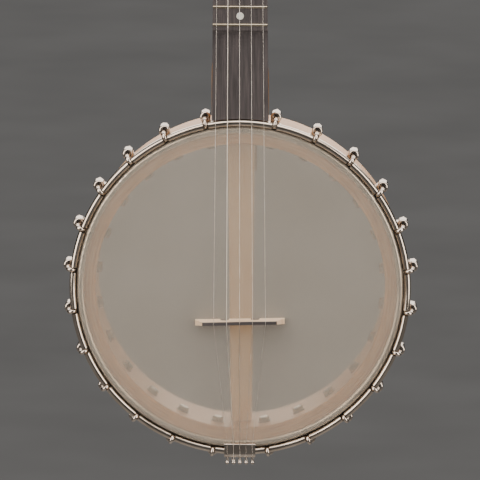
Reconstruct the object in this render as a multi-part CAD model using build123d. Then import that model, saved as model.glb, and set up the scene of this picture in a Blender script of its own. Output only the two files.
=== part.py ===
from build123d import *
import os
from math import atan2, cos, degrees, radians, sin, sqrt

# Open-back five-string banjo, in millimetres. It hangs upright with its head facing -Y: X runs across
# the strings, Z up along the neck. It is drawn with the pot's axis on the Y axis and the back face of
# the rim at y = 0. Each piece is then moved so that the origin is where a wall hanger's yoke holds it.
hangY = -38.0
hangZ = 664.0

# Pot
rimOuter = 139.6
rimInner = 123.8
rimDepth = 63.5
toneRadius = 3.175
toneCentre = 136.525
filmThick = 0.3
filmFront = -(rimDepth + 2 * toneRadius + filmThick)
# Tension hoop, measured from the film's front towards the back
hoopInner = 140.6
hoopOuter = 146.0
hoopProud = 1.8
flangeBase = 4.8
skirtInner = 140.9
skirtOuter = 143.3
hoopSeat = 9.8
fleshOuter = 143.2
fleshBase = 16.0
# Hooks, shoes and their fasteners
hookCount = 24
neckHalfGap = 11.8
tailHalfGap = 9.4
hookWire = 1.85
hookLeg = 148.0
hookTip = 142.9
notchWidth = 4.6
hookPast = 16.0
shoeY = filmFront + 26.0
shoeBarrel = 4.7
shoeHalf = 6.8
hookNutLength = 6.0
boltRadius = 2.4
washerRadius = 5.5
washerFace = sqrt(rimInner**2 - washerRadius**2)
# Dowel stick and tail
dowelBack = -17.0
dowelNeck = (23.0, 28.0)
dowelTail = (17.5, 20.0)
endBoltY = dowelBack - dowelTail[1] / 2
endBoltRadius = 3.0
endSpan = 160.0
braceScrewZ = 104.0
tailWidth = 26.5
tailTop = filmFront - 7.0
tailLip = -134.7
tailBack = -146.3
tailThick = 1.2
tailBend = 4.4
tailPitch = 5.4
tailPost = 1.1
tailPostY = filmFront - 4.6
# Scale and neck
scale = 685.8
bridgeZ = -29.2
bridgeHeight = 15.9
bridgeTilt = 1.3
bridgeTop = 2.6
bridgeBase = 5.2
footHalf = 38.2
capHalf = 31.9
capHeight = 2.4
stringPitch = 11.1
boardAtBridge = 10.1
boardSlope = 0.0524
stringSlope = 0.05853
boardThick = 6.0
scoopDepth = 3.8
scoopTop = 223.0
scoopRun = 14.0
fretCount = 17
dotFrets = (3, 5, 7, 10, 12, 15, 17)
dotRadius = 3.175
dotDeep = 1.4
nutZ = bridgeZ + scale
nutThick = 5.0
potWidth = 24.5
sideTaper = 0.0101
bassNut = -12.8
trebleNut = 19.5
neckDepth = 15.6
# Fifth string, whose pip stands just above the fifth fret
pipZ = bridgeZ + scale * 2 ** (-5 / 12) + 3.1
pipX = -17.7
pipRadius = 1.2
fifthPegZ = pipZ + 17.5
shoulderLow = fifthPegZ + 7.0
shoulderHigh = shoulderLow + 24.0
trussLow = 175.0
trussHigh = nutZ - 14.4
trussRadius = 2.5
# Headstock
headTilt = 16.0
headCentre = (bassNut + trebleNut) / 2
overlayThick = 2.0
headThick = 12.5
nutStringsX = (15.3, 7.2, -0.9, -9.0)
gauges = (0.25, 0.33, 0.41, 0.58, 0.25)
# Tuning pegs
postRadius = 3.0
postHeight = 12.5
wrapHeight = 6.6
pegSpots = ((17.0, 38.0), (19.0, 78.0), (-19.0, 78.0), (-17.0, 38.0))
housingRadius = 8.6
housingLength = 17.0
houseTop = -(overlayThick + headThick)
bushRadius = 4.6
bushHole = 4.8
shankRadius = 3.9
stemRadius = 2.5


def fretZ(n):
    return bridgeZ + scale * 2 ** (-n / 12)


def boardTop(z):
    return filmFront - boardAtBridge + (z - bridgeZ) * boardSlope


def stringY(z):
    return filmFront - bridgeHeight + (z - bridgeZ) * stringSlope


def trebleEdge(z):
    return potWidth - sideTaper * (z - 120.0)


def bassEdge(z):
    if z <= shoulderLow:
        return -trebleEdge(z)
    inner = bassNut - (nutZ - z) * sideTaper * 1.3
    if z >= shoulderHigh:
        return inner
    part = (z - shoulderLow) / (shoulderHigh - shoulderLow)
    ease = part * part * (3 - 2 * part)
    return -trebleEdge(z) * (1 - ease) + inner * ease


fifthY = boardTop(fifthPegZ) + 6.2
fifthFace = bassEdge(fifthPegZ)


def ring(inner, outer, y0, y1):
    tube = Cylinder(outer, y1 - y0) - Cylinder(inner, y1 - y0)
    return Pos(0, (y0 + y1) / 2, 0) * Rot(90, 0, 0) * tube


def rodY(radius, y0, y1, x=0.0, z=0.0):
    return Pos(x, (y0 + y1) / 2, z) * Rot(90, 0, 0) * Cylinder(radius, y1 - y0)


def rodZ(radius, z0, z1, x=0.0, y=0.0):
    return Pos(x, y, (z0 + z1) / 2) * Cylinder(radius, z1 - z0)


def block(x0, x1, y0, y1, z0, z1):
    middle = Pos((x0 + x1) / 2, (y0 + y1) / 2, (z0 + z1) / 2)
    return middle * Box(x1 - x0, y1 - y0, z1 - z0)


def turned(points):
    # a section given as radius and y, turned about the pot's axis
    return revolve(make_face(Polyline(*points, close=True)), Axis.Y)


def rod(a, b, radius):
    a, b = Vector(*a), Vector(*b)
    return extrude(Plane(origin=a, z_dir=b - a) * Circle(radius), (b - a).length)


def hookAngles():
    step = (180.0 - neckHalfGap - tailHalfGap) / (hookCount // 2 - 1)
    right = [neckHalfGap + step * k for k in range(hookCount // 2)]
    return right + [-a for a in right]


def aroundPot(shape):
    # one copy of a shape made at the top of the pot for each hook
    return [Rot(0, a, 0) * shape for a in hookAngles()]


def save(name, *solids):
    hung = Pos(0, -hangY, -hangZ)
    flat = [hung * s for item in solids for s in (item.solids() if hasattr(item, "solids") else item)]
    export_step(flat[0] if len(flat) == 1 else Compound(children=flat), "parts/" + name + ".step")


def rimPart():
    rim = turned(
        [
            (rimInner, -rimDepth + 1.0),
            (rimInner + 1.0, -rimDepth),
            (rimOuter, -rimDepth),
            (rimOuter, -1.2),
            (rimOuter - 1.2, 0.0),
            (rimInner + 1.2, 0.0),
            (rimInner, -1.2),
        ]
    )
    half = dowelNeck[0] / 2 + 0.1
    rim -= block(-half, half, dowelBack - dowelNeck[1] - 0.1, dowelBack + 0.1, 110, 150)
    rim -= rodZ(endBoltRadius + 0.1, -150, -110, y=endBoltY)
    for hole in aroundPot(rodZ(boltRadius + 0.1, 118, 150, y=shoeY)):
        rim -= hole
    return rim


def headPart():
    # flat film, rounded over the tone ring, down its collar and out into the flesh hoop
    inner, outer = toneCentre + toneRadius, toneCentre + toneRadius + filmThick
    y0 = -rimDepth - toneRadius
    s = toneRadius * sin(radians(45))
    o = (toneRadius + filmThick) * sin(radians(45))
    flare, lip, foot = filmFront + 10.9, filmFront + 12.4, filmFront + 14.6
    edge = (
        Line((0, filmFront), (toneCentre, filmFront))
        + ThreePointArc((toneCentre, filmFront), (toneCentre + o, y0 - o), (outer, y0))
        + Polyline((outer, y0), (outer, flare), (141.9, lip), (141.9, foot), (141.6, foot))
        + Polyline((141.6, foot), (141.6, lip + 0.1), (inner, flare + 0.1), (inner, y0))
        + ThreePointArc((inner, y0), (toneCentre + s, y0 - s), (toneCentre, y0 - toneRadius))
        + Polyline((toneCentre, y0 - toneRadius), (0, y0 - toneRadius), (0, filmFront))
    )
    return revolve(make_face(edge), Axis.Y)


def fleshHoopPart():
    # an open channel that holds the folded edge of the film
    top, lip, base = filmFront + hoopSeat, filmFront + 12.9, filmFront + fleshBase
    return turned(
        [
            (140.35, lip),
            (141.2, lip),
            (141.2, base - 1.2),
            (142.4, base - 1.2),
            (142.4, top),
            (fleshOuter, top),
            (fleshOuter, base),
            (140.35, base),
        ]
    )


def tensionHoopPart():
    # a round-topped flange with a thinner wall behind it that bears on the flesh hoop
    front, shoulder = filmFront - hoopProud, filmFront + 0.5
    flange, seat = filmFront + flangeBase, filmFront + hoopSeat
    middle = (hoopInner + hoopOuter) / 2
    edge = (
        ThreePointArc((hoopInner, shoulder), (middle, front), (hoopOuter, shoulder))
        + Polyline((hoopOuter, shoulder), (hoopOuter, flange - 0.6), (hoopOuter - 0.6, flange))
        + Polyline((hoopOuter - 0.6, flange), (skirtOuter, flange), (skirtOuter, seat), (skirtInner, seat))
        + Polyline((skirtInner, seat), (skirtInner, flange), (hoopInner, flange), (hoopInner, shoulder))
    )
    hoop = revolve(make_face(edge), Axis.Y)
    # each notch has a pocket behind it for the hook's short end
    half = notchWidth / 2
    pocket = hookWire + 0.15
    notch = block(-half, half, front - 1, filmFront + 2.1, hoopInner - 1, hoopOuter + 1)
    notch += block(-pocket, pocket, front - 1, filmFront + 8.6, hoopInner - 1, hookTip)
    notch += rodY(pocket, front - 1, filmFront + 8.6, z=hookTip)
    for cut in aroundPot(notch):
        hoop -= cut
    return hoop


def hookPart():
    bend = (hookLeg - hookTip) / 2
    top = filmFront - hoopProud - 0.2 + hookWire + bend
    line = (
        Line((0, filmFront + 7.6, hookTip), (0, top, hookTip))
        + ThreePointArc(
            (0, top, hookTip), (0, top - bend, hookTip + bend), (0, top, hookLeg)
        )
        + Line((0, top, hookLeg), (0, shoeY + hookPast, hookLeg))
    )
    start = Plane(origin=line @ 0, z_dir=line % 0)
    return sweep(start * Circle(hookWire), path=line)


def shoePart():
    barrel = rodY(shoeBarrel, shoeY - shoeHalf, shoeY + shoeHalf, z=hookLeg)
    barrel = fillet(barrel.edges(), 1.6)
    web = block(-3.9, 3.9, shoeY - 5.0, shoeY + 5.0, 141.0, hookLeg - 1.0)
    foot = rodZ(6.4, 138.0, 142.0, y=shoeY)
    foot = chamfer(foot.edges().sort_by(Axis.Z)[-1], 0.8)
    shoe = barrel + web + foot
    shoe -= ring(100, rimOuter, shoeY - 12, shoeY + 12)
    shoe -= rodY(hookWire + 0.15, shoeY - 12, shoeY + 12, z=hookLeg)
    shoe -= rodZ(boltRadius + 0.05, 130, 144.6, y=shoeY)
    return shoe


def hookNutPart():
    start = shoeY + shoeHalf
    plane = Plane(origin=(0, start, hookLeg), z_dir=(0, 1, 0))
    nut = extrude(plane * RegularPolygon(3.5, 6, False), hookNutLength)
    nut = chamfer(nut.edges().sort_by(Axis.Y)[-6:], 0.7)
    cup = rodY(4.0, start, start + 1.6, z=hookLeg)
    return nut + cup - rodY(hookWire + 0.05, start - 1, start + 20, z=hookLeg)


def shoeWasherPart():
    washer = rodZ(washerRadius, washerFace - 1.0, washerFace, y=shoeY)
    return washer - rodZ(boltRadius + 0.1, 110, 130, y=shoeY)


def shoeBoltPart():
    seat = washerFace - 1.0
    head = extrude(Plane(origin=(0, shoeY, seat - 3.4)) * RegularPolygon(4.0, 6, False), 3.4)
    head = chamfer(head.edges().sort_by(Axis.Z)[:6], 0.5)
    return head + rodZ(boltRadius, seat - 0.1, 144.2, y=shoeY)


def dowelPart():
    def section(size, z):
        width, depth = size
        return Pos(0, dowelBack - depth / 2, z) * RectangleRounded(width, depth, 1.5)

    stick = loft([section(dowelTail, -123.4), section(dowelNeck, 139.0)])
    stick += rodZ(8.0, 138.5, 168.0, y=dowelBack - dowelNeck[1] / 2)
    stick -= rodZ(endBoltRadius, -130, -98, y=endBoltY)
    return stick - rodY(1.8, -40, 0, z=braceScrewZ)


def bracePart():
    plate = block(-13, 13, dowelBack, dowelBack + 2.4, 92, 123.0)
    foot = block(-13, 13, dowelBack, dowelBack + 13, 120.6, 123.0)
    brace = fillet((plate + foot).edges().filter_by(Axis.Y), 1.0)
    return brace - rodY(1.9, -40, 0, z=braceScrewZ)


def braceScrewPart():
    head = rodY(4.0, dowelBack + 2.4, dowelBack + 4.8, z=braceScrewZ)
    head = fillet(head.edges().sort_by(Axis.Y)[-1], 1.2)
    head -= block(-5, 5, dowelBack + 4.0, dowelBack + 6, braceScrewZ - 0.5, braceScrewZ + 0.5)
    return head + rodY(1.8, dowelBack - 12, dowelBack + 2.5, z=braceScrewZ)


def endBoltParts():
    bolt = rodZ(endBoltRadius, -156, -98, y=endBoltY)
    face = -rimOuter
    washer = rodZ(8.5, face - 1.5, face, y=endBoltY) - rodZ(endBoltRadius, -endSpan, 0, y=endBoltY)

    def hexNut(z0, z1):
        nut = extrude(Plane(origin=(0, endBoltY, z0)) * RegularPolygon(5.0, 6, False), z1 - z0)
        return nut - rodZ(endBoltRadius, -endSpan, 0, y=endBoltY)

    inner = hexNut(tailBack, face - 1.5)
    outer = hexNut(tailBack - tailThick - 4.5, tailBack - tailThick)
    outer = chamfer(outer.edges().group_by(Axis.Z)[0].filter_by(GeomType.LINE), 0.6)
    return bolt, washer, [inner, outer]


def tailpiecePart():
    # a bar across the hoop with a rolled lip, and a strap down to the end bolt
    base, top = filmFront - hoopProud - 0.3, tailTop
    half = tailWidth / 2
    bar = block(-half, half, top, base, tailBack - tailThick, tailLip)
    edges = bar.edges().group_by(Axis.Y)[0].filter_by(Axis.X).sort_by(Axis.Z)
    bar = fillet(edges[0], tailBend)
    bar = fillet(bar.edges().group_by(Axis.Y)[0].filter_by(Axis.X).sort_by(Axis.Z)[-1], 1.7)
    strap = Polyline(
        (-half, base - 0.5),
        (half, base - 0.5),
        (half, base + 4.0),
        (7.0, base + 20.0),
        (7.0, endBoltY + 8.0),
        (-7.0, endBoltY + 8.0),
        (-7.0, base + 20.0),
        (-half, base + 4.0),
        close=True,
    )
    # the plane's own y runs towards the back, so the outline is given in x and y of the part
    level = Plane(origin=(0, 0, tailBack), x_dir=(1, 0, 0), z_dir=(0, 0, 1))
    wall = extrude(level * make_face(strap), -tailThick)
    body = bar + wall
    for k in range(-2, 3):
        x = k * tailPitch
        post = rodZ(tailPost, tailBack - 5.3, tailBack, x=x, y=tailPostY)
        body += post + Pos(x, tailPostY, tailBack - 5.3) * Sphere(1.7)
        body -= rod((x, top, tailLip + 5), (x, top, tailBack - 5), 0.5)
    return body - rodZ(endBoltRadius + 0.1, -endSpan, -140, y=endBoltY)


def bridgeProfile():
    rise = bridgeHeight - capHeight
    archOut, archIn, arch, toe = 16.85, 9.25, 7.4, 3.2
    shape = Polyline((-footHalf, 0), (footHalf, 0), (footHalf, toe), (capHalf, rise), (-capHalf, rise),
                     (-footHalf, toe), close=True)
    face = make_face(shape)
    for side in (-1, 1):
        middle = side * (archOut + archIn) / 2
        width = archOut - archIn
        face -= Pos(middle, arch / 2 - width / 4) * Rectangle(width, arch - width / 2)
        face -= Pos(middle, arch - width / 2) * Circle(width / 2)
        face -= Pos(side * 38.9, 9.6) * Circle(4.6)
    return face


def bridgeParts():
    # x across the strings, y away from the film, thickness towards the tail
    plane = Plane(origin=(0, filmFront, bridgeZ + bridgeTop), x_dir=(1, 0, 0), z_dir=(0, 0, -1))
    body = extrude(plane * bridgeProfile(), bridgeBase)
    lean = atan2(bridgeBase - bridgeTop, bridgeHeight)
    cutter = Pos(0, filmFront, bridgeZ + bridgeTop - bridgeBase) * Rot(-degrees(lean), 0, 0)
    cutter = cutter * Pos(0, -20, -10) * Box(120, 80, 20)
    capFace = Pos(0, bridgeHeight - capHeight / 2) * Rectangle(2 * capHalf, capHeight)
    cap = extrude(plane * capFace, bridgeBase)
    skew = Pos(0, 0, bridgeZ) * Rot(0, -bridgeTilt, 0) * Pos(0, 0, -bridgeZ)
    body, cap = skew * (body - cutter), skew * (cap - cutter)
    for k in range(5):
        x, y = stringPitch * (2 - k), stringY(bridgeZ) - 0.2
        cap -= rod((x, y, bridgeZ + 12), (x, y, bridgeZ - 12), gauges[k] / 2 + 0.25)
    return body, cap


def neckSection(z, drop, depth):
    # flat towards the strings, rounded behind: drop is below the board's top
    left, right, y = bassEdge(z), trebleEdge(z), boardTop(z) + drop
    mid = (left + right) / 2
    half = (right - left) / 2
    curve = Spline(
        (right, y),
        (mid + half * 0.9, y + depth * 0.46),
        (mid + half * 0.55, y + depth * 0.86),
        (mid, y + depth),
        (mid - half * 0.55, y + depth * 0.86),
        (mid - half * 0.9, y + depth * 0.46),
        (left, y),
        tangents=[(0, 1), (0, -1)],
    )
    outline = curve + Line((left, y), (right, y))
    return Pos(0, 0, z) * make_face(outline)


def heelSection(y, length, half, start=137.0):
    # a tongue pointing up the neck, in the plane of the strings
    side = start + length * 0.42
    edge = (
        Line((-half, start), (half, start))
        + Line((half, start), (half, side))
        + Spline((half, side), (half * 0.62, start + length * 0.83), (0, start + length),
                 (-half * 0.62, start + length * 0.83), (-half, side), tangents=[(0, 1), (0, -1)])
        + Line((-half, side), (-half, start))
    )
    plane = Plane(origin=(0, y, 0), x_dir=(1, 0, 0), z_dir=(0, -1, 0))
    return plane * make_face(edge)


def headOutline():
    # waisted at the nut, widest at the upper pegs, with a shallow scallop at the tip
    half = (trebleNut - bassNut) / 2
    right = (
        Line((half, -4), (half, 6))
        + Spline((half, 6), (27.0, 28.0), (28.5, 48.0), (32.5, 84.0), (31.0, 112.0),
                 (19.0, 128.0), tangents=[(0.1, 1), (-0.5, 0.6)])
        + Spline((19.0, 128.0), (14.0, 142.0), (0, 150.0), tangents=[(0.4, 1), (-1, 0)])
    )
    left = mirror(right, Plane.YZ)
    return make_face(right + left + Line((-half, -4), (half, -4)))


headPlane = Plane(
    origin=(headCentre, boardTop(nutZ) + 3.0, nutZ + nutThick),
    x_dir=(1, 0, 0),
    z_dir=(0, -cos(radians(headTilt)), sin(radians(headTilt))),
)


def onHead(x, y, z):
    # a point of the headstock's own plane: across, along, and out from its front face
    return tuple(headPlane.from_local_coords(Vector(x, y, z)))


def headRod(radius, x, y, z0, z1):
    return extrude(headPlane * Pos(x, y, z0) * Circle(radius), z1 - z0)


def neckPart():
    ends = [neckSection(138.0, boardThick, 17.5), neckSection(shoulderLow, boardThick, neckDepth)]
    low = loft(ends, ruled=True)
    low -= fifthRod(shankRadius + 0.05, fifthFace - 2, fifthFace + 12.3)
    stations = [shoulderLow + (shoulderHigh - shoulderLow) * k / 4 for k in range(5)]
    shoulder = loft([neckSection(z, boardThick, neckDepth) for z in stations])
    ends = [
        neckSection(shoulderHigh, boardThick, neckDepth),
        neckSection(nutZ + nutThick, boardThick, 14.4),
    ]
    high = loft(ends, ruled=True)
    under = boardTop(140.0) + boardThick
    heel = loft(
        [
            heelSection(under - 0.2, 104.0, 24.35),
            heelSection(under + 12.0, 84.0, 23.0),
            heelSection(-40.0, 56.0, 19.4),
            heelSection(-24.0, 38.0, 16.2),
            heelSection(-3.0, 29.0, 14.0),
        ]
    )
    # the heel lies wholly under the sloping board
    cover = make_face(Polyline((under - 8, 130), (boardTop(130) + boardThick, 130),
                               (boardTop(260) + boardThick, 260), (under - 8, 260), close=True))
    heel -= extrude(Plane(origin=(-40, 0, 0), x_dir=(0, 1, 0), z_dir=(1, 0, 0)) * cover, 80)
    stock = extrude(headPlane * headOutline(), -(overlayThick + headThick))
    stock -= extrude(headPlane * Pos(0, 60) * Rectangle(90, 200), -overlayThick)
    stock -= block(-60, 60, -90, boardTop(nutZ) + boardThick, nutZ - 40, nutZ + nutThick)
    neck = low + shoulder + high + heel + stock
    neck -= ring(0.01, rimOuter + 0.1, -90, 10)
    neck -= ring(0.01, hoopOuter + 0.5, -120, filmFront + fleshBase + 1.5)
    neck -= rodZ(8.05, 130, 168.3, y=dowelBack - dowelNeck[1] / 2)
    for x, y in pegSpots:
        neck -= headRod(bushHole, x, y, -40, 10)
    neck -= trussPart(0.15)
    return neck


def heelCapPart():
    cap = extrude(heelSection(-3.0, 29.0, 14.0), -2.4)
    return cap - ring(0.01, rimOuter + 0.1, -90, 10)


def trussPart(room=0.0):
    a = (0.0, boardTop(trussLow) + boardThick + 4.0, trussLow)
    b = (headCentre * 0.8, boardTop(trussHigh) + boardThick + 4.0, trussHigh)
    return rod(a, b, trussRadius + room)


def edgeOutline(z0, z1, inset=0.0):
    # the board's outline seen from the front, as a prism through the whole depth
    steps = 8
    marks = [shoulderLow + (shoulderHigh - shoulderLow) * k / steps for k in range(steps + 1)]
    bass = [(bassEdge(z) + inset, z) for z in [z0] + marks + [z1]]
    treble = [(trebleEdge(z1) - inset, z1), (trebleEdge(z0) - inset, z0)]
    plane = Plane(origin=(0, 60, 0), x_dir=(1, 0, 0), z_dir=(0, -1, 0))
    return extrude(plane * make_face(Polyline(*bass, *treble, close=True)), 180)


def sideProfile(points):
    # a profile in y and z, spread across the neck
    plane = Plane(origin=(-40, 0, 0), x_dir=(0, 1, 0), z_dir=(1, 0, 0))
    return extrude(plane * make_face(points), 80)


def boardPart():
    low, high = 136.0, nutZ
    foot = scoopTop - scoopRun
    floor = boardTop(foot) + scoopDepth
    edge = (
        Polyline(
            (boardTop(low) + scoopDepth, low),
            (boardTop(low) + boardThick, low),
            (boardTop(high) + boardThick, high),
            (boardTop(high), high),
            (boardTop(scoopTop), scoopTop),
        )
        + Spline((boardTop(scoopTop), scoopTop), (floor, foot), tangents=[(1.4, -1), (-boardSlope, -1)])
        + Line((floor, foot), (boardTop(low) + scoopDepth, low))
    )
    board = sideProfile(edge) & edgeOutline(low, high)
    board -= ring(0.01, hoopOuter + 0.5, -120, 20)
    for n in range(1, fretCount + 1):
        z = fretZ(n)
        board -= block(-40, 40, boardTop(z) - 2, boardTop(z) + 2.3, z - 0.3, z + 0.3)
    for x, z in dotPlaces():
        board -= rodY(dotRadius, boardTop(z) - 2, boardTop(z) + dotDeep, x=x, z=z)
    for cut in sideDotRods(1.0):
        board -= cut
    board -= fifthRod(shankRadius + 0.05, fifthFace - 2, fifthFace + 12.3)
    return board - rodY(pipRadius + 0.05, boardTop(pipZ) - 2, boardTop(pipZ) + 4.1, x=pipX, z=pipZ)


def dotPlaces():
    places = []
    for n in dotFrets:
        z = (fretZ(n) + fretZ(n - 1)) / 2
        middle = (bassEdge(z) + trebleEdge(z)) / 2
        spread = (-7.5, 7.5) if n == 12 else (0.0,)
        places += [(middle + s, z) for s in spread]
    return places


def dotParts():
    top = 0.12
    return [rodY(dotRadius, boardTop(z) + top, boardTop(z) + dotDeep, x=x, z=z) for x, z in dotPlaces()]


def sideDotRods(proud=0.0):
    rods = []
    for n in dotFrets:
        z = (fretZ(n) + fretZ(n - 1)) / 2
        y = boardTop(z) + boardThick / 2
        x = bassEdge(z)
        rods.append(rod((x - proud, y, z), (x + 1.6, y, z), 1.0))
    return rods


def fretParts():
    frets = []
    for n in range(1, fretCount + 1):
        z = fretZ(n)
        y = boardTop(z)
        left, right = bassEdge(z) + 0.3, trebleEdge(z) - 0.3
        low, high = (z - 1.1, boardTop(z - 1.1)), (z + 1.1, boardTop(z + 1.1))
        crown = Line(low, high)
        arc = ThreePointArc(high, (z, y - 1.1), low)
        plane = Plane(origin=(left, 0, 0), x_dir=(0, 0, 1), z_dir=(-1, 0, 0))
        wire = extrude(plane * make_face(crown + arc), left - right)
        tang = block(left + 0.6, right - 0.6, y - 0.1, y + 2.2, z - 0.25, z + 0.25)
        frets.append(wire + tang)
    return frets


def nutPart():
    top = stringY(nutZ) - 0.2
    nut = block(bassNut, trebleNut, top, boardTop(nutZ) + boardThick, nutZ, nutZ + nutThick)
    nut = fillet(nut.edges().group_by(Axis.Y)[0].filter_by(Axis.X), 0.8)
    for x, gauge in zip(nutStringsX, gauges):
        room = gauge / 2 + 0.12
        nut -= rod((x, stringY(nutZ - 2), nutZ - 2), (x, stringY(nutZ + 8), nutZ + 8), room)
        nut -= block(x - room, x + room, top - 1, stringY(nutZ), nutZ - 1, nutZ + 6)
    return nut


def pipPart():
    y = boardTop(pipZ)
    pip = rodY(pipRadius, y - 1.9, y + 4.0, x=pipX, z=pipZ)
    return pip - block(pipX - 0.35, pipX + 0.35, y - 2.5, y - 1.5, pipZ - 3, pipZ + 3)


def overlayPart():
    plate = extrude(headPlane * headOutline(), -overlayThick)
    plate -= block(-60, 60, -120, 60, nutZ - 60, nutZ + nutThick + 0.05)
    for x, y in pegSpots:
        plate -= headRod(bushHole, x, y, -40, 10)
    for x in (-1, 1):
        plate -= headRod(1.0, x * 4.0, 12.0, -1.9, 5)
    return plate


def trussCoverPart():
    shape = make_face(
        Line((-6.5, 3.0), (6.5, 3.0))
        + Spline((6.5, 3.0), (5.6, 14.0), (0, 27.0), tangents=[(0.1, 1), (-0.8, 1)])
        + Spline((0, 27.0), (-5.6, 14.0), (-6.5, 3.0), tangents=[(-0.8, -1), (0.1, -1)])
    )
    cover = extrude(headPlane * shape, 1.6)
    for x in (-1, 1):
        cover -= headRod(1.1, x * 4.0, 12.0, -2, 5)
    return cover


def trussScrewParts():
    screws = []
    for x in (-1, 1):
        screw = headRod(1.0, x * 4.0, 12.0, -1.8, 1.6) + headRod(1.9, x * 4.0, 12.0, 1.6, 2.4)
        screws.append(screw)
    return screws


# Planetary pegs: the housing is fixed, the button drives the post through a four to one gear.
def washerAt(x, y):
    return headRod(7.2, x, y, 0.0, 0.8) - headRod(4.7, x, y, -1, 2)


def bushNutAt(x, y):
    nut = extrude(headPlane * Pos(x, y, 0.8) * RegularPolygon(5.6, 6, False), 2.6)
    nut += headRod(bushRadius, x, y, 3.3, 4.2)
    nut += headRod(bushRadius, x, y, houseTop + 0.2, 1.0)
    return nut - headRod(postRadius + 0.05, x, y, -40, 10)


def housingAt(x, y):
    shell = headRod(housingRadius, x, y, houseTop - housingLength, houseTop)
    shell = fillet(shell.edges().filter_by(GeomType.CIRCLE), 1.8)
    shell -= headRod(postRadius + 0.05, x, y, houseTop - 6, 0)
    return shell - headRod(stemRadius + 0.05, x, y, houseTop - 30, houseTop - 9)


def postAt(x, y):
    post = headRod(postRadius, x, y, houseTop - 5.5, postHeight)
    post = fillet(post.edges().filter_by(GeomType.CIRCLE).sort_by(Axis.Y)[0], 0.8)
    groove = headRod(postRadius + 1, x, y, wrapHeight - 1.9, wrapHeight + 1.9)
    groove -= headRod(postRadius - 0.5, x, y, 0, 12)
    post -= groove
    hole = Plane(origin=onHead(x, y, wrapHeight), z_dir=headPlane.y_dir) * Circle(0.6)
    return post - extrude(hole, 6, both=True)


def pegButton(plane):
    # an oval button of bone-like plastic, thicker in the middle, on a short collar
    oval = Ellipse(9.5, 7.0)
    body = extrude(plane * Pos(0, 0, 2.0) * oval, 13.0)
    rims = body.edges().filter_by(GeomType.LINE, reverse=True)
    body = fillet(rims, 2.6)
    collar = extrude(plane * Circle(4.0), 2.5)
    stem = extrude(plane * Pos(0, 0, -6.0) * Circle(stemRadius), 8.5)
    return body + collar + stem


def buttonAt(x, y):
    z = houseTop - housingLength - 0.4
    plane = Plane(origin=onHead(x, y, z), x_dir=headPlane.x_dir, z_dir=-headPlane.z_dir)
    return pegButton(plane)


def fifthRod(radius, x0, x1):
    return rod((x0, fifthY, fifthPegZ), (x1, fifthY, fifthPegZ), radius)


def fifthHousingPart():
    shank = fifthRod(shankRadius, fifthFace - 1.0, fifthFace + 12.0)
    core = fifthRod(1.6, fifthFace, fifthFace - 12)
    flange = fifthRod(6.2, fifthFace - 0.3, fifthFace - 1.3)
    shell = fifthRod(7.6, fifthFace - 10.6, fifthFace - 24.0)
    shell = fillet(shell.edges().filter_by(GeomType.CIRCLE), 1.6)
    shell -= fifthRod(stemRadius + 0.05, fifthFace - 18.0, fifthFace - 30.0)
    return shank + core + flange + shell


def fifthPostPart():
    sleeve = fifthRod(3.1, fifthFace - 1.5, fifthFace - 10.4)
    sleeve -= fifthRod(1.65, fifthFace, fifthFace - 12)
    groove = fifthRod(4.0, fifthFace - 3.8, fifthFace - 7.6) - fifthRod(2.6, fifthFace, fifthFace - 12)
    return sleeve - groove


def fifthButtonPart():
    plane = Plane(origin=(fifthFace - 24.4, fifthY, fifthPegZ), x_dir=(0, 0, 1), z_dir=(-1, 0, 0))
    return pegButton(plane)


def stringLine(points, gauge):
    # straight runs mitred at each bend, with an eye round the tailpiece post
    path = Polyline(*points)
    start = Plane(origin=path @ 0, z_dir=path % 0)
    line = sweep(start * Circle(gauge / 2), path=path, transition=Transition.RIGHT)
    x, _, z = points[-1]
    thick = gauge / 2 + 0.04
    return line + Pos(x, tailPostY, z) * Torus(tailPost + 0.05 + thick, thick)


def windingHead(x, y, gauge):
    turns = []
    for k in range(4):
        z = wrapHeight + (k - 1.5) * gauge * 1.06
        turns.append(headPlane * Pos(x, y, z) * Torus(postRadius - 0.45 + gauge / 2, gauge / 2))
    return turns


def tailRun(k, gauge):
    # over the bar and down to the front of its own post
    x = (2 - k) * tailPitch
    lip = (x, tailTop, tailLip - 0.8)
    back = (x, tailTop, tailBack - tailThick - 0.3)
    end = (x, tailPostY - tailPost - 0.05 - gauge / 2, tailBack - 3.2)
    return [lip, back, end]


def stringParts():
    lines, wraps = [], []
    for k, gauge in enumerate(gauges):
        atBridge = (stringPitch * (2 - k), stringY(bridgeZ) - 0.1, bridgeZ + 1.3)
        if k < 4:
            px, py = pegSpots[k]
            side = -1 if px > 0 else 1
            reach = postRadius - 0.45 + gauge / 2
            end = onHead(px + side * (reach + 0.35 + gauge), py - 3.0, wrapHeight)
            nut = (nutStringsX[k], stringY(nutZ + nutThick), nutZ + nutThick + 0.1)
            lines.append(stringLine([end, nut, atBridge] + tailRun(k, gauge), gauge))
            wraps.append(windingHead(px, py, gauge))
        else:
            pip = (pipX, boardTop(pipZ) - 1.7, pipZ + 0.6)
            x = fifthFace - 5.7
            end = (x + 0.2, fifthY - 4.2, fifthPegZ - 1.0)
            lines.append(stringLine([end, pip, atBridge] + tailRun(k, gauge), gauge))
            turns = []
            for n in range(4):
                spot = Pos(x + (n - 1.5) * gauge * 1.06, fifthY, fifthPegZ)
                turns.append(spot * Rot(0, 90, 0) * Torus(2.65 + gauge / 2, gauge / 2))
            wraps.append(turns)
    return lines, wraps


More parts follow.
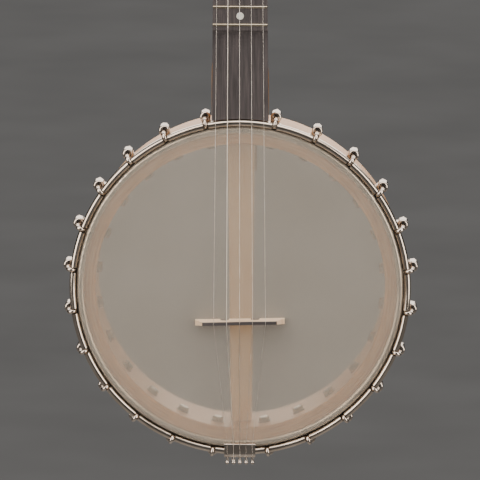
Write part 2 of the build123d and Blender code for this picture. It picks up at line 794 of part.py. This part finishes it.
def main():
    os.makedirs("parts", exist_ok=True)
    save("rim", rimPart())
    save("tone_ring", Pos(0, -rimDepth - toneRadius, 0) * Rot(90, 0, 0) * Torus(toneCentre, toneRadius))
    save("head", headPart())
    save("flesh_hoop", fleshHoopPart())
    save("tension_hoop", tensionHoopPart())
    save("bracket_hooks", *aroundPot(hookPart()))
    save("bracket_shoes", *aroundPot(shoePart()))
    save("bracket_nuts", *aroundPot(hookNutPart()))
    save("shoe_bolts", *aroundPot(shoeBoltPart()))
    save("shoe_washers", *aroundPot(shoeWasherPart()))
    save("dowel_stick", dowelPart())
    save("neck_brace", bracePart())
    save("brace_screw", braceScrewPart())
    bolt, washer, nuts = endBoltParts()
    save("end_bolt", bolt)
    save("end_washer", washer)
    save("end_nuts", *nuts)
    save("tailpiece", tailpiecePart())
    body, cap = bridgeParts()
    save("bridge_body", body)
    save("bridge_cap", cap)
    save("neck", neckPart())
    save("heel_cap", heelCapPart())
    save("truss_rod", trussPart())
    save("fingerboard", boardPart())
    save("position_dots", *dotParts())
    save("side_dots", *sideDotRods())
    save("frets", *fretParts())
    save("nut", nutPart())
    save("fifth_string_nut", pipPart())
    save("headstock_overlay", overlayPart())
    save("truss_cover", trussCoverPart())
    save("truss_cover_screws", *trussScrewParts())
    save("tuner_washers", *[washerAt(*spot) for spot in pegSpots])
    save("tuner_nuts", *[bushNutAt(*spot) for spot in pegSpots])
    save("tuner_housings", *[housingAt(*spot) for spot in pegSpots])
    save("fifth_peg_housing", fifthHousingPart())
    for k, spot in enumerate(pegSpots):
        save(f"string_post_{k + 1}", postAt(*spot))
        save(f"tuner_button_{k + 1}", buttonAt(*spot))
    save("string_post_5", fifthPostPart())
    save("tuner_button_5", fifthButtonPart())
    lines, wraps = stringParts()
    for k in range(5):
        save(f"string_{k + 1}", lines[k])
        save(f"post_winding_{k + 1}", *wraps[k])


main()
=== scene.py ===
import math

import bpy
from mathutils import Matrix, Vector


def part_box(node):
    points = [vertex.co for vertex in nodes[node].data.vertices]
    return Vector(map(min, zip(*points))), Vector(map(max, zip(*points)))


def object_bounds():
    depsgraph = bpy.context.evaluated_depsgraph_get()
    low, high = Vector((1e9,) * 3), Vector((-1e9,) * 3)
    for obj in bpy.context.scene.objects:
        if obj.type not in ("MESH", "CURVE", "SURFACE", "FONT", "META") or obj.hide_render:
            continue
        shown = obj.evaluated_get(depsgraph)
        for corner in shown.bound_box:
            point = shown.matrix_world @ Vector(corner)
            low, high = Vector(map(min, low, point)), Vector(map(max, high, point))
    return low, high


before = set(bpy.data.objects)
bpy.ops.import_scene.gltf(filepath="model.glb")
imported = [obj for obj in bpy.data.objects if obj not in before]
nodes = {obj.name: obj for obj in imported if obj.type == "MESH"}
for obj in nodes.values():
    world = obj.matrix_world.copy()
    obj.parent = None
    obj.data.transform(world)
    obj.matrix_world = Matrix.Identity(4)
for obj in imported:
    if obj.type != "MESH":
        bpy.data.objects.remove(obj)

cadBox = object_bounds()

hoopLow, hoopHigh = (Vector(c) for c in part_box("tension_hoop"))
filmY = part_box("head")[0][1]
potX = (hoopLow.x + hoopHigh.x) / 2
potZ = (hoopLow.z + hoopHigh.z) / 2
print("stage: frame loaded")

# a long lens from well back, above the pot and a little to its right
shot = {"azimuth": 1.6, "elevation": 11.3, "distance": 8.0, "fieldWidth": 0.4102, "above": 0.0411}


def makeCamera():
    a, e = math.radians(shot["azimuth"]), math.radians(shot["elevation"])
    back = Vector((math.sin(a) * math.cos(e), -math.cos(a) * math.cos(e), math.sin(e)))
    up = Vector((-math.sin(a) * math.sin(e), math.cos(a) * math.sin(e), math.cos(e)))
    target = Vector((potX, filmY, potZ)) + up * shot["above"]
    data = bpy.data.cameras.new("shotCamera")
    data.sensor_width = 36.0
    data.lens = data.sensor_width * shot["distance"] / shot["fieldWidth"]
    camera = bpy.data.objects.new("shotCamera", data)
    camera.location = target + back * shot["distance"]
    camera.rotation_mode = "QUATERNION"
    camera.rotation_quaternion = (-back).to_track_quat("-Z", "Y")
    bpy.context.collection.objects.link(camera)
    bpy.context.scene.camera = camera


makeCamera()


# colours are written as sRGB hex and turned to linear here
def toLinear(hexColour):
    parts = [int(hexColour[i:i + 2], 16) / 255 for i in (0, 2, 4)]
    return tuple([p / 12.92 if p <= 0.04045 else ((p + 0.055) / 1.055) ** 2.4 for p in parts] + [1.0])


def setStops(elements, stops):
    while len(elements) < len(stops):
        elements.new(0.5)
    for element, (position, colour) in zip(elements, stops):
        element.position = position
        element.color = toLinear(colour) if isinstance(colour, str) else (colour, colour, colour, 1.0)


def addNode(tree, kind, settings=None, links=None):
    node = tree.nodes.new(kind)
    for key, value in (settings or {}).items():
        if key == "stops":
            setStops(node.color_ramp.elements, value)
        elif isinstance(key, str) and hasattr(node, key):
            setattr(node, key, value)
        else:
            node.inputs[key].default_value = value
    for key, source in (links or {}).items():
        tree.links.new(source, node.inputs[key])
    return node


def newMaterial(name):
    material = bpy.data.materials.new(name)
    material.use_nodes = True
    tree = material.node_tree
    tree.nodes.clear()
    return material, tree


def closeMaterial(tree, settings, links):
    shader = addNode(tree, "ShaderNodeBsdfPrincipled", settings, links)
    addNode(tree, "ShaderNodeOutputMaterial", None, {"Surface": shader.outputs["BSDF"]})


# hard maple: fine pores and a broad drift of tone along the grain, oiled so that it glows warm
maple = {"grainRun": 26, "driftWidth": 9, "driftRun": 160, "index": 1.48, "coat": 0.15}


def makeMaple(name, tones, grainMm, along, gloss):
    material, tree = newMaterial(name)
    coords = addNode(tree, "ShaderNodeTexCoord")
    fine = 1000 / grainMm
    stretch = [fine, fine, fine]
    stretch[along] = fine / maple["grainRun"]
    fineSpace = addNode(tree, "ShaderNodeMapping", {"Scale": stretch}, {"Vector": coords.outputs["Object"]})
    grain = addNode(tree, "ShaderNodeTexNoise", {"Scale": 1.0, "Detail": 6.0, "Roughness": 0.62},
                    {"Vector": fineSpace.outputs["Vector"]})
    wide = [fine / maple["driftWidth"]] * 3
    wide[along] = fine / maple["driftRun"]
    wideSpace = addNode(tree, "ShaderNodeMapping", {"Scale": wide}, {"Vector": coords.outputs["Object"]})
    broad = addNode(tree, "ShaderNodeTexNoise", {"Scale": 1.0, "Detail": 3.0, "Distortion": 0.6},
                    {"Vector": wideSpace.outputs["Vector"]})
    mixed = addNode(tree, "ShaderNodeMix", {"data_type": "FLOAT", "Factor": 0.45},
                    {"A": grain.outputs["Fac"], "B": broad.outputs["Fac"]})
    colour = addNode(tree, "ShaderNodeValToRGB", {"stops": list(zip((0.30, 0.5, 0.68), tones))},
                     {"Fac": mixed.outputs["Result"]})
    rough = addNode(tree, "ShaderNodeMapRange", {"To Min": gloss - 0.06, "To Max": gloss + 0.08},
                    {"Value": grain.outputs["Fac"]})
    bump = addNode(tree, "ShaderNodeBump", {"Strength": 0.12, "Distance": 0.0002},
                   {"Height": grain.outputs["Fac"]})
    closeMaterial(tree, {"IOR": maple["index"], "Coat Weight": maple["coat"], "Coat Roughness": 0.25},
                  {"Base Color": colour.outputs["Color"], "Roughness": rough.outputs["Result"],
                   "Normal": bump.outputs["Normal"]})
    return material


# the rim is bent in plies, so its grain runs round the pot and its back shows the glue lines
bent = {"plyMm": 2.64, "glue": "6b4526", "grainPerMetre": 620.0, "grainPerRadian": 5.0, "coat": 0.2}


def makeRimMaple(name, tones):
    material, tree = newMaterial(name)
    coords = addNode(tree, "ShaderNodeTexCoord")
    split = addNode(tree, "ShaderNodeSeparateXYZ", None, {"Vector": coords.outputs["Object"]})
    rise = addNode(tree, "ShaderNodeMath", {"operation": "SUBTRACT", 1: potZ}, {0: split.outputs["Z"]})
    angle = addNode(tree, "ShaderNodeMath", {"operation": "ARCTAN2"},
                    {0: split.outputs["X"], 1: rise.outputs["Value"]})
    flat = addNode(tree, "ShaderNodeCombineXYZ", {"Z": 0.0},
                   {"X": split.outputs["X"], "Y": rise.outputs["Value"]})
    radius = addNode(tree, "ShaderNodeVectorMath", {"operation": "LENGTH"}, {0: flat.outputs["Vector"]})
    arc = addNode(tree, "ShaderNodeMath", {"operation": "MULTIPLY", 1: bent["grainPerRadian"]},
                  {0: angle.outputs["Value"]})
    deep = addNode(tree, "ShaderNodeMath", {"operation": "MULTIPLY", 1: bent["grainPerMetre"]},
                   {0: radius.outputs["Value"]})
    across = addNode(tree, "ShaderNodeMath", {"operation": "MULTIPLY", 1: bent["grainPerMetre"]},
                     {0: split.outputs["Y"]})
    unrolled = addNode(tree, "ShaderNodeCombineXYZ", None,
                       {"X": arc.outputs["Value"], "Y": deep.outputs["Value"], "Z": across.outputs["Value"]})
    grain = addNode(tree, "ShaderNodeTexNoise", {"Scale": 1.0, "Detail": 6.0, "Roughness": 0.6},
                    {"Vector": unrolled.outputs["Vector"]})
    colour = addNode(tree, "ShaderNodeValToRGB", {"stops": list(zip((0.3, 0.5, 0.7), tones))},
                     {"Fac": grain.outputs["Fac"]})
    # a thin dark glue line shows between plies
    ply = addNode(tree, "ShaderNodeMath", {"operation": "MULTIPLY", 1: 1000 / bent["plyMm"]},
                  {0: radius.outputs["Value"]})
    saw = addNode(tree, "ShaderNodeMath", {"operation": "FRACT"}, {0: ply.outputs["Value"]})
    line = addNode(tree, "ShaderNodeValToRGB", {"stops": [(0.0, 0.0), (0.05, 1.0), (0.95, 1.0), (1.0, 0.0)]},
                   {"Fac": saw.outputs["Value"]})
    glued = addNode(tree, "ShaderNodeMix", {"data_type": "RGBA", "A": toLinear(bent["glue"])},
                    {"Factor": line.outputs["Color"], "B": colour.outputs["Color"]})
    bump = addNode(tree, "ShaderNodeBump", {"Strength": 0.1, "Distance": 0.0002},
                   {"Height": grain.outputs["Fac"]})
    rough = addNode(tree, "ShaderNodeMapRange", {"To Min": 0.3, "To Max": 0.46},
                    {"Value": grain.outputs["Fac"]})
    closeMaterial(tree, {"IOR": maple["index"], "Coat Weight": bent["coat"], "Coat Roughness": 0.2},
                  {"Base Color": glued.outputs["Result"], "Roughness": rough.outputs["Result"],
                   "Normal": bump.outputs["Normal"]})
    return material


# ebony: near black with brown streaks along the grain and open pores, oiled to a satin
ebony = {"streaks": ("3a3637", "4a4546", "5c5453"), "streakPerMetre": 520.0, "streakRun": 14.0,
         "porePerMetre": 1900.0, "poreRun": 110.0}


def makeEbony(name, along):
    material, tree = newMaterial(name)
    coords = addNode(tree, "ShaderNodeTexCoord")
    stretch = [ebony["streakPerMetre"]] * 3
    stretch[along] = ebony["streakRun"]
    streakSpace = addNode(tree, "ShaderNodeMapping", {"Scale": stretch}, {"Vector": coords.outputs["Object"]})
    streak = addNode(tree, "ShaderNodeTexNoise", {"Scale": 1.0, "Detail": 5.0, "Roughness": 0.66},
                     {"Vector": streakSpace.outputs["Vector"]})
    colour = addNode(tree, "ShaderNodeValToRGB", {"stops": list(zip((0.34, 0.55, 0.74), ebony["streaks"]))},
                     {"Fac": streak.outputs["Fac"]})
    pore = [ebony["porePerMetre"]] * 3
    pore[along] = ebony["poreRun"]
    poreSpace = addNode(tree, "ShaderNodeMapping", {"Scale": pore}, {"Vector": coords.outputs["Object"]})
    pores = addNode(tree, "ShaderNodeTexVoronoi", {"Scale": 1.0}, {"Vector": poreSpace.outputs["Vector"]})
    rough = addNode(tree, "ShaderNodeMapRange", {"To Min": 0.36, "To Max": 0.52},
                    {"Value": streak.outputs["Fac"]})
    bump = addNode(tree, "ShaderNodeBump", {"Strength": 0.12, "Distance": 0.0001},
                   {"Height": pores.outputs["Distance"]})
    closeMaterial(tree, {"IOR": 1.5, "Specular IOR Level": 0.5},
                  {"Base Color": colour.outputs["Color"], "Roughness": rough.outputs["Result"],
                   "Normal": bump.outputs["Normal"]})
    return material


# plated or drawn metal: tone from the hex, fine wipe marks in its roughness, dulled in patches
metal = {"marksMm": 0.5, "hazePerMetre": 60.0, "dull": 0.06, "markDepth": 0.000004}


def makeMetal(name, tones, gloss, marksMm=metal["marksMm"]):
    material, tree = newMaterial(name)
    coords = addNode(tree, "ShaderNodeTexCoord")
    markSpace = addNode(tree, "ShaderNodeMapping", {"Scale": [1000 / marksMm] * 3},
                        {"Vector": coords.outputs["Object"]})
    marks = addNode(tree, "ShaderNodeTexNoise", {"Scale": 1.0, "Detail": 4.0, "Roughness": 0.7},
                    {"Vector": markSpace.outputs["Vector"]})
    haze = addNode(tree, "ShaderNodeTexNoise", {"Scale": metal["hazePerMetre"], "Detail": 3.0},
                   {"Vector": coords.outputs["Object"]})
    colour = addNode(tree, "ShaderNodeValToRGB", {"stops": list(zip((0.35, 0.65), tones))},
                     {"Fac": haze.outputs["Fac"]})
    both = addNode(tree, "ShaderNodeMix", {"data_type": "FLOAT", "Factor": 0.5},
                   {"A": marks.outputs["Fac"], "B": haze.outputs["Fac"]})
    rough = addNode(tree, "ShaderNodeMapRange",
                    {"From Min": 0.3, "From Max": 0.7, "To Min": gloss, "To Max": gloss + metal["dull"]},
                    {"Value": both.outputs["Result"]})
    bump = addNode(tree, "ShaderNodeBump", {"Strength": 0.08, "Distance": metal["markDepth"]},
                   {"Height": marks.outputs["Fac"]})
    closeMaterial(tree, {"Metallic": 1.0},
                  {"Base Color": colour.outputs["Color"], "Roughness": rough.outputs["Result"],
                   "Normal": bump.outputs["Normal"]})
    return material


# frosted polyester: a thin haze that lights up evenly and lets the rim and dowel show softly through
film = {"tone": "ece6dc", "deep": "e0d9ce", "seeThrough": 0.8, "roughness": 0.22, "index": 1.15,
        "gritPerMetre": 900.0, "cloudPerMetre": 14.0, "gritDepth": 0.00005}


def makeFilm():
    material, tree = newMaterial("frostedPolyester")
    coords = addNode(tree, "ShaderNodeTexCoord")
    grit = addNode(tree, "ShaderNodeTexNoise", {"Scale": film["gritPerMetre"], "Detail": 3.0},
                   {"Vector": coords.outputs["Object"]})
    cloud = addNode(tree, "ShaderNodeTexNoise",
                    {"Scale": film["cloudPerMetre"], "Detail": 5.0, "Roughness": 0.6},
                    {"Vector": coords.outputs["Object"]})
    mixed = addNode(tree, "ShaderNodeMix", {"data_type": "FLOAT", "Factor": 0.35},
                    {"A": cloud.outputs["Fac"], "B": grit.outputs["Fac"]})
    colour = addNode(tree, "ShaderNodeValToRGB", {"stops": [(0.3, film["deep"]), (0.7, film["tone"])]},
                     {"Fac": mixed.outputs["Result"]})
    bump = addNode(tree, "ShaderNodeBump", {"Strength": 0.12, "Distance": film["gritDepth"]},
                   {"Height": grit.outputs["Fac"]})
    closeMaterial(tree, {"IOR": film["index"], "Transmission Weight": film["seeThrough"],
                         "Roughness": film["roughness"]},
                  {"Base Color": colour.outputs["Color"], "Normal": bump.outputs["Normal"]})
    return material


# bone, shell and celluloid: pale, with clouding or drawn lines below a polished face
def makePale(name, tones, scaleMm, gloss, coat=0.3, stretch=(1, 1, 1)):
    material, tree = newMaterial(name)
    coords = addNode(tree, "ShaderNodeTexCoord")
    cloudSpace = addNode(tree, "ShaderNodeMapping", {"Scale": [1000 / scaleMm * s for s in stretch]},
                         {"Vector": coords.outputs["Object"]})
    cloud = addNode(tree, "ShaderNodeTexNoise", {"Scale": 1.0, "Detail": 5.0, "Distortion": 1.2},
                    {"Vector": cloudSpace.outputs["Vector"]})
    colour = addNode(tree, "ShaderNodeValToRGB", {"stops": list(zip((0.3, 0.5, 0.7), tones))},
                     {"Fac": cloud.outputs["Fac"]})
    rough = addNode(tree, "ShaderNodeMapRange", {"To Min": gloss, "To Max": gloss + 0.12},
                    {"Value": cloud.outputs["Fac"]})
    closeMaterial(tree, {"Coat Weight": coat, "Coat Roughness": 0.12, "Subsurface Weight": 0.1,
                         "Subsurface Scale": 0.001},
                  {"Base Color": colour.outputs["Color"], "Roughness": rough.outputs["Result"]})
    return material


neckMaple = makeMaple("oiledMaple", ("8a5a2e", "a9763f", "bb8a52"), 1.1, 2, 0.38)
dowelMaple = makeMaple("turnedMaple", ("d3a874", "e6c193", "efd1a8"), 1.2, 2, 0.45)
bridgeMaple = makeMaple("bareMaple", ("d9b18a", "e8cbaa", "f0dcc4"), 0.5, 0, 0.5)
rimMaple = makeRimMaple("bentMaple", ("bd8550", "d29d68", "deb07e"))
boardEbony = makeEbony("oiledEbony", 2)
capEbony = makeEbony("sawnEbony", 0)
nickelPlate = makeMetal("nickelPlate", ("cdbfb2", "ded2c6"), 0.09)
hoopPlate = makeMetal("rolledHoopPlate", ("c9bbac", "dccfc1"), 0.11, 0.7)
platedBrass = makeMetal("platedBrass", ("cfc6ba", "ded6cb"), 0.2)
boltSteel = makeMetal("turnedSteel", ("a9a49d", "c2bdb5"), 0.2, 0.4)
millAluminium = makeMetal("milledAluminium", ("c4c5c6", "d6d7d8"), 0.3)
fretSilver = makeMetal("nickelSilver", ("c0b39c", "d6cab4"), 0.14, 0.3)
stringSteel = makeMetal("drawnStringSteel", ("d2ccc5", "e6e1da"), 0.24, 0.2)
woundNickel = makeMetal("woundNickel", ("e6ddd2", "f4ede4"), 0.3, 0.25)
polishedBone = makePale("polishedBone", ("d9ceb4", "e6dec8", "efe9da"), 1.6, 0.22)
motherOfPearl = makePale("motherOfPearl", ("c3cac9", "dcdcd4", "f0ece2"), 1.2, 0.15, 0.5)
ivoroid = makePale("ivoroid", ("cdb98f", "dccba6", "e9dcbf"), 1.4, 0.18, 0.5, (1, 1, 0.12))

finishes = {
    neckMaple: ["neck"],
    dowelMaple: ["dowel_stick"],
    bridgeMaple: ["bridge_body"],
    rimMaple: ["rim"],
    boardEbony: ["fingerboard", "headstock_overlay", "heel_cap", "truss_cover"],
    capEbony: ["bridge_cap"],
    nickelPlate: ["bracket_hooks", "bracket_shoes", "bracket_nuts", "tailpiece", "tuner_washers", "tuner_nuts",
                  "tuner_housings", "fifth_peg_housing", "neck_brace"]
                 + ["string_post_%d" % k for k in range(1, 6)],
    hoopPlate: ["tension_hoop"],
    platedBrass: ["tone_ring"],
    boltSteel: ["shoe_bolts", "shoe_washers", "brace_screw", "end_bolt", "end_washer", "end_nuts", "truss_rod",
                "truss_cover_screws"],
    millAluminium: ["flesh_hoop"],
    fretSilver: ["frets"],
    stringSteel: ["string_1", "string_2", "string_3", "string_5"]
                 + ["post_winding_%d" % k for k in (1, 2, 3, 5)],
    woundNickel: ["string_4", "post_winding_4"],
    polishedBone: ["nut", "fifth_string_nut"],
    motherOfPearl: ["position_dots", "side_dots"],
    ivoroid: ["tuner_button_%d" % k for k in range(1, 6)],
    makeFilm(): ["head"],
}
for material, names in finishes.items():
    for name in names:
        nodes[name].data.materials.clear()
        nodes[name].data.materials.append(material)
print("stage: finishes set")


# studio: a pale floor well below the hung banjo, large soft lights
studio = {"floorDrop": 2.2, "floorHalf": 30.0, "floorTone": "9f9d9b", "floorPale": "a9a7a5",
          "horizon": 0.03, "low": 0.06, "zenith": 0.5,
          "lamps": [("keyLight", -1.6, -1.5, 0.8, (1.8, 2.4), 54),
                    ("fillLight", 1.8, -1.3, 0.6, (1.4, 2.4), 44),
                    ("topLight", 0.1, -0.4, 2.0, (2.6, 1.4), 42),
                    ("backLight", 0.2, 1.8, 0.9, (2.2, 1.6), 26)]}


def makeFloor():
    mesh = bpy.data.meshes.new("paleFloor")
    half, z = studio["floorHalf"], cadBox[0].z - studio["floorDrop"]
    corners = [(-half, -half, z), (half, -half, z), (half, half, z), (-half, half, z)]
    mesh.from_pydata(corners, [], [(0, 1, 2, 3)])
    floor = bpy.data.objects.new("paleFloor", mesh)
    bpy.context.collection.objects.link(floor)
    material, tree = newMaterial("paintedFloor")
    coords = addNode(tree, "ShaderNodeTexCoord")
    mottle = addNode(tree, "ShaderNodeTexNoise", {"Scale": 3.0, "Detail": 2.0},
                     {"Vector": coords.outputs["Object"]})
    tone = addNode(tree, "ShaderNodeValToRGB",
                   {"stops": [(0.3, studio["floorTone"]), (0.7, studio["floorPale"])]},
                   {"Fac": mottle.outputs["Fac"]})
    closeMaterial(tree, {"Roughness": 0.85}, {"Base Color": tone.outputs["Color"]})
    mesh.materials.append(material)


def softLight(name, place, target, size, power, tone="fff6ec"):
    data = bpy.data.lights.new(name, "AREA")
    data.shape = "RECTANGLE"
    data.size, data.size_y = size
    data.energy = power
    data.color = toLinear(tone)[:3]
    lamp = bpy.data.objects.new(name, data)
    lamp.location = place
    lamp.rotation_mode = "QUATERNION"
    lamp.rotation_quaternion = (Vector(target) - Vector(place)).to_track_quat("-Z", "Y")
    bpy.context.collection.objects.link(lamp)


def makeStudio():
    makeFloor()
    world = bpy.data.worlds.new("studioAir")
    world.use_nodes = True
    tree = world.node_tree
    tree.nodes.clear()
    # the air is dark at eye level and bright overhead, so that polished metal has both to show
    coords = addNode(tree, "ShaderNodeTexCoord")
    split = addNode(tree, "ShaderNodeSeparateXYZ", None, {"Vector": coords.outputs["Generated"]})
    stops = [(0.0, studio["horizon"]), (0.25, studio["low"]), (1.0, studio["zenith"])]
    lift = addNode(tree, "ShaderNodeValToRGB", {"stops": stops}, {"Fac": split.outputs["Z"]})
    sky = addNode(tree, "ShaderNodeBackground", {"Strength": 1.0}, {"Color": lift.outputs["Color"]})
    addNode(tree, "ShaderNodeOutputWorld", None, {"Surface": sky.outputs["Background"]})
    bpy.context.scene.world = world
    middle = (0, 0, potZ + 0.25)
    for name, x, y, rise, size, power in studio["lamps"]:
        softLight(name, (x, y, potZ + rise), middle, size, power)


makeStudio()
print("stage: studio lit")
